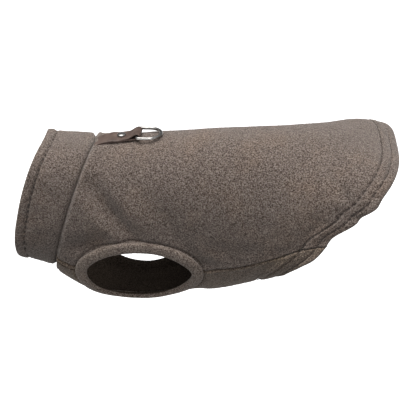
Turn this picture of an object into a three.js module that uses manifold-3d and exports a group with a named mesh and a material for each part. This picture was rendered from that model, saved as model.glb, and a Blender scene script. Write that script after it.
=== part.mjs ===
// Fleece dog vest: a hollow garment of sewn panels, filled out as if worn.
// Millimetres. +X runs from the head to the tail, +Z up, and the XZ plane is the plane of symmetry.
// The origin is the inner face of the back, over the middle of the armholes.
import * as THREE from "three";
import { mergeVertices } from "three/addons/utils/BufferGeometryUtils.js";
import Module from "manifold-3d";

const wasm = await Module();
wasm.setup();

// Cloth and seams
const seamGap = 0.3;
const sideSeamGap = 0.6;
const fleeceWall = 2.2;
const collarWall = 2.8;
const foldedWall = 4.2;
const collarHemWidth = 9;
const rearHemWidth = 16;
const collarPuff = 0.9;
// The rear hem's seams run aslant to the stations, so that they need more than seamGap along them.
const backHemGap = 0.6;
const bellyHemGap = 2.3;

// Height of the section table's zero over the origin.
const tableDrop = 70.3;

// The neck and body as leaning rings, from the collar's front edge to the rear edge.
// at: station of the ring. top, bottom: X and Z of its two points on the plane of symmetry.
// half: half width. wide: height of the widest point, as a share of the ring's height.
// bow: how far the sides lie rearward of the line from top to bottom.
// crown, keel: 2 is an ellipse, more is squarer, over and under the widest point.
const ringTable = [
  {
    at: -93, topX: -87, topZ: 69, bottomX: -114.5, bottomZ: -52.5,
    half: 47, wide: 0.48, bow: -7, crown: 2.7, keel: 2,
  },
  {
    at: -58, topX: -41, topZ: 69, bottomX: -83.5, bottomZ: -63,
    half: 48, wide: 0.51, bow: -3, crown: 2.4, keel: 2,
  },
  {
    at: -48, topX: -28, topZ: 71, bottomX: -77, bottomZ: -69.5,
    half: 51, wide: 0.5, bow: -2.5, crown: 2, keel: 2.3,
  },
  {
    at: -28, topX: -13, topZ: 71.5, bottomX: -45.5, bottomZ: -86,
    half: 53, wide: 0.5, bow: 1, crown: 2, keel: 2.6,
  },
  {
    at: 0, topX: 13, topZ: 73.5, bottomX: 0.5, bottomZ: -89.5,
    half: 54, wide: 0.5, bow: 4.5, crown: 2.1, keel: 2.9,
  },
  {
    at: 50, topX: 64, topZ: 78, bottomX: 47.5, bottomZ: -82,
    half: 55, wide: 0.5, bow: 7.5, crown: 2.2, keel: 2.3,
  },
  {
    at: 100, topX: 125.5, topZ: 82, bottomX: 75, bottomZ: -79,
    half: 59.5, wide: 0.52, bow: 6.5, crown: 2.2, keel: 2.2,
  },
  {
    at: 140, topX: 175, topZ: 84, bottomX: 113, bottomZ: -63,
    half: 68, wide: 0.59, bow: 4, crown: 2.1, keel: 2.4,
  },
  {
    at: 160, topX: 210.5, topZ: 80.5, bottomX: 122, bottomZ: -55.5,
    half: 74.5, wide: 0.65, bow: 2.5, crown: 2.9, keel: 2.5,
  },
  {
    at: 175, topX: 236.5, topZ: 72.5, bottomX: 127, bottomZ: -50,
    half: 78.5, wide: 0.68, bow: -4, crown: 3.3, keel: 2.6,
  },
];
const collarFrontAt = ringTable[0].at;
const collarSeamAt = ringTable[1].at;
const rearEdgeAt = ringTable[ringTable.length - 1].at;

// Seam between the back panel and the belly panel: its angle from the middle of the back, at stations.
const sideSeamTable = [
  { at: -58, angle: 126 },
  { at: -38, angle: 122 },
  { at: 56, angle: 119 },
  { at: 80, angle: 115.5 },
  { at: 130, angle: 114 },
  { at: 154, angle: 109.5 },
  { at: 175, angle: 107.5 },
];

// Armhole: the middle line of its binding, with a rounded front end and a tapered rear end.
const armhole = {
  frontAt: -38.5,
  crestAt: -2,
  rearAt: 56,
  frontAngle: 122,
  rearAngle: 120,
  rise: 27,
  fall: 31,
  frontFullness: 2.8,
  rearFullness: 1.8,
  lowerFullness: 2.2,
  lowerRoundness: 0.62,
};
const bindingWidth = 11;
const bindingThickness = 4.6;

// Largest folds of the back panel, pressed in along a line between two places.
// depth: at the line. width: distance from the line where a third of the depth is left.
const foldTable = [
  { fromAt: -40, fromAngle: -54, toAt: -8, toAngle: -86, depth: 5.4, width: 9 },
  { fromAt: -45, fromAngle: -107, toAt: -31, toAngle: -94, depth: 3.6, width: 9 },
  { fromAt: 32, fromAngle: -93, toAt: 58, toAngle: -112, depth: 3, width: 9 },
  { fromAt: -40, fromAngle: 60, toAt: -12, toAngle: 85, depth: 3.2, width: 9 },
  { fromAt: -44, fromAngle: 108, toAt: -31, toAngle: 94, depth: 3, width: 9 },
  { fromAt: 36, fromAngle: 97, toAt: 58, toAngle: 111, depth: 2.6, width: 9 },
];
// Folds begin this far from a binding's middle line, and are full this far from it.
const foldClearance = { from: 7, to: 13 };

// Leash strap: two leaves of leather folded round the ring's bar, riveted together.
const strapWidth = 17.5;
const leatherWall = 1.4;
const strapFrontAt = -56;
const strapBarAt = -13;
const strapSideAtSeam = -3.6;
const strapSideAtBar = 0;
const rivetBehindBar = -16;
const rivetHeadRadius = 4.2;
const rivetHeadHeight = 1.7;
const rivetShankRadius = 1.2;
const rivetTailRadius = 3;
const rivetTailHeight = 0.9;

// D-ring
const wireRadius = 1.5;
const ringSpread = 23.6;
const ringReach = 21.5;
const ringRestGap = 0.3;

// Values of a table's columns at a station, on smooth curves through its rows.
function rowAt(table, at) {
  const last = table.length - 1;
  let i = 0;
  while (i < last - 1 && at > table[i + 1].at) i += 1;
  const before = table[Math.max(i - 1, 0)];
  const from = table[i];
  const to = table[i + 1];
  const after = table[Math.min(i + 2, last)];
  const span = to.at - from.at;
  const t = (at - from.at) / span;
  const row = {};
  for (const column of Object.keys(from)) {
    const startSlope = (to[column] - before[column]) / (to.at - before.at) * span;
    const endSlope = (after[column] - from[column]) / (after.at - from.at) * span;
    row[column] =
      (2 * t ** 3 - 3 * t ** 2 + 1) * from[column] + (t ** 3 - 2 * t ** 2 + t) * startSlope +
      (3 * t ** 2 - 2 * t ** 3) * to[column] + (t ** 3 - t ** 2) * endSlope;
  }
  return row;
}

// Point of the cloth's outer face at a station and an angle: 0 is the middle of the back, 180 of the belly.
// Positive angles are on the +Y side, the garment's right.
function clothPoint(at, degrees) {
  const ring = rowAt(ringTable, at);
  const angle = THREE.MathUtils.degToRad(degrees);
  const up = Math.cos(angle);
  const side = Math.sin(angle);
  const power = THREE.MathUtils.lerp(ring.keel, ring.crown, (1 + up) / 2);
  const reach = (Math.abs(up) ** power + Math.abs(side) ** power) ** (-1 / power);
  const along = ring.wide + up * reach * (up > 0 ? 1 - ring.wide : ring.wide);
  const rearward = ring.bow * (side * reach) ** 2;
  return new THREE.Vector3(
    THREE.MathUtils.lerp(ring.bottomX, ring.topX, along) + rearward,
    ring.half * side * reach,
    THREE.MathUtils.lerp(ring.bottomZ, ring.topZ, along) - tableDrop,
  );
}

// Outward normal of the cloth there.
function clothNormal(at, degrees) {
  const step = 0.5;
  const alongBody = clothPoint(at + step, degrees).sub(clothPoint(at - step, degrees));
  const aroundBody = clothPoint(at, degrees + step).sub(clothPoint(at, degrees - step));
  return alongBody.cross(aroundBody).normalize();
}

// Millimetres along the body for one step of station, and round it for one degree.
function stationLength(at, degrees) {
  return clothPoint(at + 0.5, degrees).distanceTo(clothPoint(at - 0.5, degrees));
}

function degreeLength(at, degrees) {
  return clothPoint(at, degrees + 0.5).distanceTo(clothPoint(at, degrees - 0.5));
}

// A closed solid from an outer and an inner grid of points: rows along the body, columns round it.
function gridShell(outer, inner, closed) {
  const rows = outer.length;
  const columns = outer[0].length;
  const positions = [];
  for (const row of [...outer, ...inner]) {
    for (const p of row) positions.push(p.x, p.y, p.z);
  }
  const index = [];
  const quad = (a, b, c, d) => index.push(a, c, b, a, d, c);
  const out = (i, j) => i * columns + j % columns;
  const under = (i, j) => rows * columns + i * columns + j % columns;
  const steps = closed ? columns : columns - 1;
  for (let j = 0; j < steps; j += 1) {
    for (let i = 0; i < rows - 1; i += 1) {
      quad(out(i, j), out(i, j + 1), out(i + 1, j + 1), out(i + 1, j));
      quad(under(i, j), under(i + 1, j), under(i + 1, j + 1), under(i, j + 1));
    }
    quad(out(0, j + 1), out(0, j), under(0, j), under(0, j + 1));
    quad(out(rows - 1, j), out(rows - 1, j + 1), under(rows - 1, j + 1), under(rows - 1, j));
  }
  for (let i = 0; i < rows - 1 && !closed; i += 1) {
    quad(out(i, 0), out(i + 1, 0), under(i + 1, 0), under(i, 0));
    quad(out(i + 1, steps), out(i, steps), under(i, steps), under(i + 1, steps));
  }
  return closedGeometry(positions, index);
}

function closedGeometry(positions, index) {
  const geometry = new THREE.BufferGeometry();
  geometry.setAttribute("position", new THREE.Float32BufferAttribute(positions, 3));
  geometry.setIndex(index);
  return geometry;
}

function toSolid(geometry) {
  const bare = geometry.clone();
  bare.deleteAttribute("normal");
  bare.deleteAttribute("uv");
  const merged = mergeVertices(bare, 1e-4);
  return new wasm.Manifold(new wasm.Mesh({
    numProp: 3,
    vertProperties: new Float32Array(merged.attributes.position.array),
    triVerts: new Uint32Array(merged.index.array),
  }));
}

function toGeometry(solid) {
  const mesh = solid.getMesh();
  return closedGeometry(mesh.vertProperties, Array.from(mesh.triVerts));
}

// A geometry with others cut from it. Crumbs that the cut leaves at an edge are dropped.
function cutGeometry(geometry, cutters) {
  let solid = toSolid(geometry);
  for (const cutter of cutters) solid = solid.subtract(toSolid(cutter));
  const pieces = solid.decompose().sort((a, b) => b.volume() - a.volume());
  return toGeometry(pieces[0]);
}

// A stretch of cloth: place(row, column), both from 0 to 1, gives the station, the angle,
// how far the outer face is raised over the garment's form, and the wall under it.
function cloth(rowSteps, columnSteps, closed, place) {
  const outer = [];
  const inner = [];
  for (let i = 0; i <= rowSteps; i += 1) {
    outer.push([]);
    inner.push([]);
    for (let j = 0; j < columnSteps + (closed ? 0 : 1); j += 1) {
      const { at, degrees, raised, wall } = place(i / rowSteps, j / columnSteps);
      const point = clothPoint(at, degrees);
      const normal = clothNormal(at, degrees);
      outer[i].push(point.clone().addScaledVector(normal, raised));
      inner[i].push(point.clone().addScaledVector(normal, raised - wall));
    }
  }
  return gridShell(outer, inner, closed);
}

// Fullness of a folded band over its width, with a stitched groove between its humps.
function bandFullness(t, humps) {
  const inset = 0.05;
  const within = inset + (1 - 2 * inset) * t;
  return Math.abs(Math.sin(Math.PI * humps * within)) ** 0.6;
}

// Raise and wall of a folded band: full on its humps, thin in its grooves and at its edges.
function foldedBand(t, humps) {
  const full = bandFullness(t, humps);
  const grooveWall = 1.6;
  const grooveRaise = -0.5;
  const humpRaise = 0.9;
  return {
    raised: THREE.MathUtils.lerp(grooveRaise, humpRaise, full),
    wall: THREE.MathUtils.lerp(grooveWall, foldedWall, full),
  };
}

const collarHemEndAt = collarFrontAt + collarHemWidth / stationLength(collarFrontAt, 90);
const gapStations = seamGap / stationLength(collarSeamAt, 90);
const bodyStartAt = collarSeamAt + gapStations;
const ringColumns = 40;
const backColumns = 26;
const bellyColumns = 14;

function collarHem() {
  return cloth(3, ringColumns, true, (t, s) => ({
    at: THREE.MathUtils.lerp(collarFrontAt, collarHemEndAt, t),
    degrees: 360 * s,
    ...foldedBand(t, 1),
  }));
}

function collar() {
  return cloth(4, ringColumns, true, (t, s) => ({
    at: THREE.MathUtils.lerp(collarHemEndAt + gapStations, collarSeamAt, t),
    degrees: 360 * s,
    raised: collarPuff * Math.sin(Math.PI * t) ** 0.7,
    wall: collarWall,
  }));
}

// Share of the armhole's rise or fall at a station: nothing at its two corners, all of it at the crest.
function armholeShare(at, upper) {
  const towardFront = at < armhole.crestAt;
  const end = towardFront ? armhole.frontAt : armhole.rearAt;
  const t = Math.min((at - armhole.crestAt) / (end - armhole.crestAt), 1);
  if (!upper) return (1 - t ** armhole.lowerFullness) ** armhole.lowerRoundness;
  return towardFront ? (1 - t ** armhole.frontFullness) ** 0.5 : 1 - t ** armhole.rearFullness;
}

function armholeAngle(at, upper) {
  const t = (at - armhole.frontAt) / (armhole.rearAt - armhole.frontAt);
  const middle = THREE.MathUtils.lerp(armhole.frontAngle, armhole.rearAngle, t);
  return middle + armholeShare(at, upper) * (upper ? -armhole.rise : armhole.fall);
}

// Angle of a panel's edge: its side seam, or the armhole where that interrupts the seam.
function panelEdge(at, isBack) {
  if (at > armhole.frontAt && at < armhole.rearAt) return armholeAngle(at, isBack);
  return rowAt(sideSeamTable, at).angle;
}

// Station that lies a length ahead of the rear edge, so that the hem is equally wide all round.
const hemGaugeAt = rearEdgeAt - 8;
function aheadOfRearEdge(length, degrees) {
  return rearEdgeAt - length / stationLength(hemGaugeAt, degrees);
}

const hemMiddleAt = rearEdgeAt - 12;

// Places of the folds and bindings on the cloth, worked out once.
const foldSteps = 10;
const foldLines = foldTable.map((fold) => Array.from({ length: foldSteps + 1 }, (_, n) => clothPoint(
  THREE.MathUtils.lerp(fold.fromAt, fold.toAt, n / foldSteps),
  THREE.MathUtils.lerp(fold.fromAngle, fold.toAngle, n / foldSteps),
)));
const bindingPlaces = [...bindingLine(-1), ...bindingLine(1)];
const bindingSpots = bindingPlaces.map((place) => clothPoint(place.at, place.degrees));

function nearest(point, spots) {
  return Math.min(...spots.map((spot) => spot.distanceTo(point)));
}

// How deep the folds press the back panel in at a place.
function foldDepth(at, degrees) {
  const point = clothPoint(at, degrees);
  const depths = foldTable.map((fold, n) => {
    const faded = (nearest(point, foldLines[n]) / fold.width) ** 2;
    return fold.depth * Math.exp(-faded);
  });
  const fromBinding = nearest(point, bindingSpots);
  return THREE.MathUtils.smoothstep(fromBinding, foldClearance.from, foldClearance.to) * Math.max(...depths);
}

// Share of a panel's length at a row. Rows lie closer together at the armhole's front corner.
const panelRows = { chest: 2, armholeFront: 6, armholeRear: 7, flank: 10 };
const panelRowCount = Object.values(panelRows).reduce((sum, n) => sum + n, 0);

function panelStation(t, rearEnd) {
  let row = t * panelRowCount;
  if (row <= panelRows.chest) {
    return THREE.MathUtils.lerp(bodyStartAt, armhole.frontAt, row / panelRows.chest);
  }
  row -= panelRows.chest;
  if (row <= panelRows.armholeFront) {
    const eased = 1 - Math.cos(row / panelRows.armholeFront * Math.PI / 2);
    return THREE.MathUtils.lerp(armhole.frontAt, armhole.crestAt, eased);
  }
  row -= panelRows.armholeFront;
  if (row <= panelRows.armholeRear) {
    return THREE.MathUtils.lerp(armhole.crestAt, armhole.rearAt, row / panelRows.armholeRear);
  }
  return THREE.MathUtils.lerp(armhole.rearAt, rearEnd, (row - panelRows.armholeRear) / panelRows.flank);
}

// Angle of a column: side runs from -1 to 1, from one edge of the panel to the other.
function panelAngle(at, side, isBack) {
  const edge = panelEdge(at, isBack);
  const halfGap = sideSeamGap / 2 / degreeLength(at, edge);
  return isBack ? side * (edge - halfGap) : 180 + side * (180 - edge - halfGap);
}

function bodyPanel(columns, isBack) {
  return cloth(panelRowCount, columns, false, (t, s) => {
    const side = 2 * s - 1;
    const hemGap = isBack ? backHemGap : bellyHemGap;
    const rearEnd = aheadOfRearEdge(rearHemWidth + hemGap, panelAngle(hemMiddleAt, side, isBack));
    const at = panelStation(t, rearEnd);
    const degrees = panelAngle(at, side, isBack);
    return { at, degrees, raised: isBack ? -foldDepth(at, degrees) : 0, wall: fleeceWall };
  });
}

function bodyHem(columns, isBack) {
  const rows = 8;
  return cloth(rows, columns, false, (t, s) => {
    const side = 2 * s - 1;
    const start = aheadOfRearEdge(rearHemWidth, panelAngle(hemMiddleAt, side, isBack));
    const at = THREE.MathUtils.lerp(start, rearEdgeAt, t);
    return { at, degrees: panelAngle(at, side, isBack), ...foldedBand(t, 2) };
  });
}

// The armhole's loop as stations and angles: the upper line forward, then the lower line back.
function armholeLoop() {
  const samples = 160;
  const loop = [];
  for (let i = 0; i < samples; i += 1) {
    const turn = 2 * Math.PI * i / samples;
    const middleAt = (armhole.frontAt + armhole.rearAt) / 2;
    const at = middleAt + Math.cos(turn) * (armhole.rearAt - armhole.frontAt) / 2;
    loop.push({ at, degrees: armholeAngle(at, i < samples / 2) });
  }
  return loop;
}

// The binding's stations along its loop: evenly spaced, with the corners eased by averaging.
function bindingLine(side) {
  const steps = 52;
  const easing = 7;
  const loop = armholeLoop();
  const points = loop.map((place) => clothPoint(place.at, place.degrees));
  const run = [0];
  for (let i = 0; i < loop.length; i += 1) {
    run.push(run[i] + points[i].distanceTo(points[(i + 1) % loop.length]));
  }
  let line = Array.from({ length: steps }, (_, n) => {
    const target = run[loop.length] * n / steps;
    let i = 0;
    while (run[i + 1] <= target) i += 1;
    const t = (target - run[i]) / (run[i + 1] - run[i]);
    const from = loop[i];
    const to = loop[(i + 1) % loop.length];
    return {
      at: THREE.MathUtils.lerp(from.at, to.at, t),
      degrees: THREE.MathUtils.lerp(from.degrees, to.degrees, t),
    };
  });
  for (let pass = 0; pass < easing; pass += 1) {
    line = line.map((place, n) => {
      const before = line[(n + steps - 1) % steps];
      const after = line[(n + 1) % steps];
      return {
        at: (before.at + 2 * place.at + after.at) / 4,
        degrees: (before.degrees + 2 * place.degrees + after.degrees) / 4,
      };
    });
  }
  return line.map((place) => ({ at: place.at, degrees: side * place.degrees }));
}

// The folded binding round one armhole, wider and thicker by margin where it is used to cut its seat.
function binding(side, margin) {
  const corners = 8;
  const line = bindingLine(side);
  const rings = line.map((place, n) => {
    const before = line[(n + line.length - 1) % line.length];
    const after = line[(n + 1) % line.length];
    const tangent = clothPoint(after.at, after.degrees)
      .sub(clothPoint(before.at, before.degrees))
      .normalize();
    const normal = clothNormal(place.at, place.degrees);
    const across = new THREE.Vector3().crossVectors(tangent, normal).normalize();
    const centre = clothPoint(place.at, place.degrees).addScaledVector(normal, -fleeceWall / 2);
    return Array.from({ length: corners }, (_, c) => {
      const turn = 2 * Math.PI * (c + 0.5) / corners;
      const round = (value) => Math.sign(value) * Math.abs(value) ** 0.7;
      return centre.clone()
        .addScaledVector(across, round(Math.cos(turn)) * (bindingWidth / 2 + margin))
        .addScaledVector(normal, round(Math.sin(turn)) * (bindingThickness / 2 + margin));
    });
  });
  return tubeLoop(rings);
}

// A closed tube through rings of points, each turning from across to normal about its tangent.
function tubeLoop(rings) {
  const corners = rings[0].length;
  const positions = rings.flatMap((ring) => ring.flatMap((p) => [p.x, p.y, p.z]));
  const index = [];
  for (let n = 0; n < rings.length; n += 1) {
    const next = (n + 1) % rings.length;
    for (let c = 0; c < corners; c += 1) {
      const d = (c + 1) % corners;
      const near = [n * corners + c, n * corners + d];
      const far = [next * corners + c, next * corners + d];
      index.push(near[0], far[1], near[1], near[0], far[0], far[1]);
    }
  }
  return closedGeometry(positions, index);
}

// Point over the back: a station, a distance across from the middle, and a height over the cloth.
function overBack(at, across, height) {
  const degrees = across / degreeLength(at, 0);
  return clothPoint(at, degrees).addScaledVector(clothNormal(at, degrees), height);
}

// Leash strap. Its profile runs along the back and over it, and is drawn in stations and heights.
const leavesHeight = seamGap + 2 * leatherWall;
const barHeight = seamGap + leatherWall + seamGap + wireRadius;
const barHole = wireRadius + seamGap;

const barStationLength = stationLength(strapBarAt, 0);
const strapLength = (strapBarAt - strapFrontAt) * barStationLength;
const strapFlatLength = 9;
const strapBlendLength = 8;

// Point of the strap: a distance behind the bar (negative, towards the head), one across, and a height.
// It follows the curved back, and is straight across where it holds the bar.
function overStrap(behind, across, height) {
  const side = THREE.MathUtils.lerp(strapSideAtBar, strapSideAtSeam, Math.max(-behind, 0) / strapLength);
  const curved = overBack(strapBarAt + behind / barStationLength, side + across, height);
  const normal = clothNormal(strapBarAt, 0);
  const straight = overBack(strapBarAt, 0, height)
    .addScaledVector(new THREE.Vector3(normal.z, 0, -normal.x), behind)
    .add(new THREE.Vector3(0, side + across, 0));
  const flat = THREE.MathUtils.smoothstep(behind, -strapFlatLength - strapBlendLength, -strapFlatLength);
  return curved.lerp(straight, flat);
}

function strap() {
  const shape = new THREE.Shape();
  const loopRadius = barHole + leatherWall;
  const leafSteps = 6;
  const throat = -2.6 * loopRadius;
  const closingTurn = 0.35;
  const leafPoint = (n, height) => [THREE.MathUtils.lerp(-strapLength, throat, n / leafSteps), height];
  shape.moveTo(...leafPoint(0, seamGap));
  for (let n = 1; n <= leafSteps; n += 1) shape.lineTo(...leafPoint(n, seamGap));
  shape.lineTo(0, barHeight - loopRadius);
  shape.absarc(0, barHeight, loopRadius, -Math.PI / 2, Math.PI / 2 + closingTurn, false);
  for (let n = leafSteps; n >= 0; n -= 1) shape.lineTo(...leafPoint(n, leavesHeight));
  const hole = new THREE.Path();
  hole.absarc(0, barHeight, barHole, 0, 2 * Math.PI, true);
  shape.holes.push(hole);
  const geometry = new THREE.ExtrudeGeometry(shape, {
    depth: strapWidth, steps: 4, bevelEnabled: false, curveSegments: 7,
  });
  const position = geometry.getAttribute("position");
  for (let i = 0; i < position.count; i += 1) {
    const across = strapWidth / 2 - position.getZ(i);
    position.setXYZ(i, ...overStrap(position.getX(i), across, position.getY(i)).toArray());
  }
  return geometry;
}

// Rivet: a tail under the cloth, a shank and a domed head, along the cloth's normal.
function rivetFrame(geometry) {
  const base = overStrap(rivetBehindBar, 0, 0);
  const normal = overStrap(rivetBehindBar, 0, 1).sub(base).normalize();
  const turn = new THREE.Quaternion().setFromUnitVectors(new THREE.Vector3(0, 1, 0), normal);
  geometry.applyQuaternion(turn);
  return geometry.translate(base.x, base.y, base.z);
}

function rivet() {
  const tailTop = -fleeceWall - seamGap;
  const headBase = leavesHeight + seamGap;
  const domeSteps = 4;
  const profile = [
    [0, tailTop - rivetTailHeight],
    [rivetTailRadius, tailTop - rivetTailHeight],
    [rivetTailRadius, tailTop],
    [rivetShankRadius, tailTop],
    [rivetShankRadius, headBase],
    [rivetHeadRadius, headBase],
  ];
  for (let n = 1; n <= domeSteps; n += 1) {
    const turn = Math.PI / 2 * n / domeSteps;
    const radius = n === domeSteps ? 0 : rivetHeadRadius * Math.cos(turn);
    profile.push([radius, headBase + rivetHeadHeight * Math.sin(turn)]);
  }
  const points = profile.map(([radius, height]) => new THREE.Vector2(radius, height));
  return rivetFrame(new THREE.LatheGeometry(points, 14));
}

function rivetHole() {
  const reach = 12;
  const radius = rivetShankRadius + seamGap;
  return rivetFrame(new THREE.CylinderGeometry(radius, radius, reach, 12));
}

// D-ring: its bar lies in the strap's loop along Y, and its round end rests on the back.
const barCentre = overBack(strapBarAt, strapSideAtBar, barHeight);
const endAt = strapBarAt + ringReach / barStationLength;
const endCentre = overBack(endAt, strapSideAtBar, wireRadius + ringRestGap);

function ringOutline() {
  const cornerRadius = 2.2;
  const half = ringSpread / 2;
  const straight = ringReach - half;
  const path = new THREE.Path();
  path.moveTo(0, -half + cornerRadius);
  path.lineTo(0, half - cornerRadius);
  path.absarc(cornerRadius, half - cornerRadius, cornerRadius, Math.PI, Math.PI / 2, true);
  path.lineTo(straight, half);
  path.absarc(straight, 0, half, Math.PI / 2, -Math.PI / 2, true);
  path.lineTo(cornerRadius, -half);
  path.absarc(cornerRadius, -half + cornerRadius, cornerRadius, -Math.PI / 2, -Math.PI, true);
  return path;
}

function dRing() {
  const steps = 42;
  const corners = 8;
  const outline = ringOutline().getSpacedPoints(steps).slice(0, steps);
  const rearward = endCentre.clone().sub(barCentre).setY(0).normalize();
  const across = new THREE.Vector3(0, 1, 0);
  const over = new THREE.Vector3().crossVectors(rearward, across);
  const place = (p) => barCentre.clone().addScaledVector(rearward, p.x).addScaledVector(across, p.y);
  const rings = outline.map((p, n) => {
    const before = place(outline[(n + steps - 1) % steps]);
    const after = place(outline[(n + 1) % steps]);
    const outward = new THREE.Vector3().crossVectors(after.sub(before).normalize(), over);
    return Array.from({ length: corners }, (_, c) => {
      const turn = 2 * Math.PI * c / corners;
      return place(p)
        .addScaledVector(outward, wireRadius * Math.cos(turn))
        .addScaledVector(over, wireRadius * Math.sin(turn));
    });
  });
  return tubeLoop(rings);
}

const group = new THREE.Group();

function addMesh(parent, name, geometry, look) {
  const mesh = new THREE.Mesh(geometry, new THREE.MeshStandardMaterial(look));
  mesh.name = name;
  parent.add(mesh);
  return mesh;
}

const fleeceLook = { color: 0x847a70, roughness: 1, metalness: 0 };
const leatherLook = { color: 0x6a5a50, roughness: 0.5, metalness: 0 };
const nickelLook = { color: 0xd0d0ce, roughness: 0.2, metalness: 1 };

const left = -1;
const right = 1;
const seats = [binding(left, seamGap), binding(right, seamGap)];
addMesh(group, "collar_hem", collarHem(), fleeceLook);
addMesh(group, "collar", collar(), fleeceLook);
const backPanel = cutGeometry(bodyPanel(backColumns, true), [...seats, rivetHole()]);
addMesh(group, "back_panel", backPanel, fleeceLook);
addMesh(group, "belly_panel", cutGeometry(bodyPanel(bellyColumns, false), seats), fleeceLook);
addMesh(group, "rear_hem", bodyHem(backColumns, true), fleeceLook);
addMesh(group, "belly_hem", bodyHem(bellyColumns, false), fleeceLook);
addMesh(group, "armhole_binding_left", binding(left, 0), fleeceLook);
addMesh(group, "armhole_binding_right", binding(right, 0), fleeceLook);
addMesh(group, "leash_strap", cutGeometry(strap(), [rivetHole()]), leatherLook);
addMesh(group, "strap_rivet", rivet(), nickelLook);
addMesh(group, "d_ring", dRing(), nickelLook);

export default group;
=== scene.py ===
# Look of the fleece dog vest: fine cloth shells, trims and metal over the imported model.
import math

import bpy
import numpy as np
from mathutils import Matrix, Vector, noise


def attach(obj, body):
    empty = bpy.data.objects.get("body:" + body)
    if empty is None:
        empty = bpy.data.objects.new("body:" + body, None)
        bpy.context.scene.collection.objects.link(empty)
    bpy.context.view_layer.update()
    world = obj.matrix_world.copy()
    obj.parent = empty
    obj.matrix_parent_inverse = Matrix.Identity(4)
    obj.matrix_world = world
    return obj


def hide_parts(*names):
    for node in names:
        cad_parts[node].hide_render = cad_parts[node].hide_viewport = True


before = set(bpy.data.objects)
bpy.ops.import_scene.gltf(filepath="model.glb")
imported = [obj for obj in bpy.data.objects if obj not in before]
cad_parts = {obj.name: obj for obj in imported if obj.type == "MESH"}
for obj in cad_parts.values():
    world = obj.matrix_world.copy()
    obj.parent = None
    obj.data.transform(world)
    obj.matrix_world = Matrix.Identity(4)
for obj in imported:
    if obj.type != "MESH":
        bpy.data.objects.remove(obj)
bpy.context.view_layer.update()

MM = 0.001

# The form, in millimetres, as leaning rings from the collar's front edge to the rear edge.
# at: station of the ring. top, bottom: X and Z of its two points on the plane of symmetry.
# half: half width. wide: height of the widest point, as a share of the ring's height.
# bow: how far the sides lie rearward of the line from top to bottom.
# crown, keel: 2 is an ellipse, more is squarer, over and under the widest point.
RING_COLUMNS = ("at", "topX", "topZ", "bottomX", "bottomZ", "half", "wide", "bow", "crown", "keel")
RINGS = [
    (-93, -87, 69, -114.5, -52.5, 47, 0.48, -7, 2.7, 2),
    (-58, -41, 69, -83.5, -63, 48, 0.51, -3, 2.4, 2),
    (-48, -28, 71, -77, -69.5, 51, 0.5, -2.5, 2, 2.3),
    (-28, -13, 71.5, -45.5, -86, 53, 0.5, 1, 2, 2.6),
    (0, 13, 73.5, 0.5, -89.5, 54, 0.5, 4.5, 2.1, 2.9),
    (50, 64, 78, 47.5, -82, 55, 0.5, 7.5, 2.2, 2.3),
    (100, 125.5, 82, 75, -79, 59.5, 0.52, 6.5, 2.2, 2.2),
    (140, 175, 84, 113, -63, 68, 0.59, 4, 2.1, 2.4),
    (160, 210.5, 80.5, 122, -55.5, 74.5, 0.65, 2.5, 2.9, 2.5),
    (175, 236.5, 72.5, 127, -50, 78.5, 0.68, -4, 3.3, 2.6),
]
TABLE_DROP = 70.3
COLLAR_FRONT = -93
COLLAR_SEAM = -58
REAR_EDGE = 175
# The seam between back and belly: station and angle
SIDE_SEAM = [
    (-58, 126), (-38, 122), (56, 119), (80, 115.5), (130, 114), (154, 109.5), (175, 107.5)]

# Armhole, as in the solids: stations of its corners and crest, and angles
ARM_FRONT = -38.5
ARM_CREST = -2
ARM_REAR = 56
ARM_FRONT_ANGLE = 122
ARM_REAR_ANGLE = 120
ARM_RISE = 27
ARM_FALL = 31
BINDING_WIDTH = 11
BINDING_THICKNESS = 4.6

FLEECE_WALL = 2.2
COLLAR_WALL = 2.8


def table_at(rows, at):
    """Values of a table's columns at stations, on smooth curves through its rows."""
    table = np.array(rows, float)
    stations = table[:, 0]
    at = np.asarray(at, float)
    last = len(rows) - 1
    i = np.clip(np.searchsorted(stations, at, side="left") - 1, 0, last - 1)
    before = table[np.maximum(i - 1, 0)]
    start = table[i]
    end = table[i + 1]
    after = table[np.minimum(i + 2, last)]
    span = (end[..., :1] - start[..., :1])
    t = (at[..., None] - start[..., :1]) / span
    start_slope = (end - before) / (end[..., :1] - before[..., :1]) * span
    end_slope = (after - start) / (after[..., :1] - start[..., :1]) * span
    return ((2 * t ** 3 - 3 * t ** 2 + 1) * start + (t ** 3 - 2 * t ** 2 + t) * start_slope
            + (3 * t ** 2 - 2 * t ** 3) * end + (t ** 3 - t ** 2) * end_slope)


def cloth_points(at, degrees):
    """Points of the cloth's outer face, in millimetres. 0 degrees is the back, 180 the belly."""
    row = dict(zip(RING_COLUMNS, np.moveaxis(table_at(RINGS, at), -1, 0)))
    angle = np.radians(degrees)
    up = np.cos(angle)
    side = np.sin(angle)
    power = row["keel"] + (row["crown"] - row["keel"]) * (1 + up) / 2
    reach = (np.abs(up) ** power + np.abs(side) ** power) ** (-1 / power)
    wide = row["wide"]
    along = wide + up * reach * np.where(up > 0, 1 - wide, wide)
    rearward = row["bow"] * (side * reach) ** 2
    x = row["bottomX"] + (row["topX"] - row["bottomX"]) * along + rearward
    z = row["bottomZ"] + (row["topZ"] - row["bottomZ"]) * along - TABLE_DROP
    return np.stack([x, row["half"] * side * reach, z], -1)


def cloth_normals(at, degrees):
    step = 0.5
    along_body = cloth_points(at + step, degrees) - cloth_points(at - step, degrees)
    around_body = cloth_points(at, degrees + step) - cloth_points(at, degrees - step)
    normal = np.cross(along_body, around_body)
    return normal / np.linalg.norm(normal, axis=-1)[..., None]


def raised_points(at, degrees, height):
    return cloth_points(at, degrees) + cloth_normals(at, degrees) * np.asarray(height)[..., None]


def station_length(at, degrees):
    return np.linalg.norm(cloth_points(at + 0.5, degrees) - cloth_points(at - 0.5, degrees), axis=-1)


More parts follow.
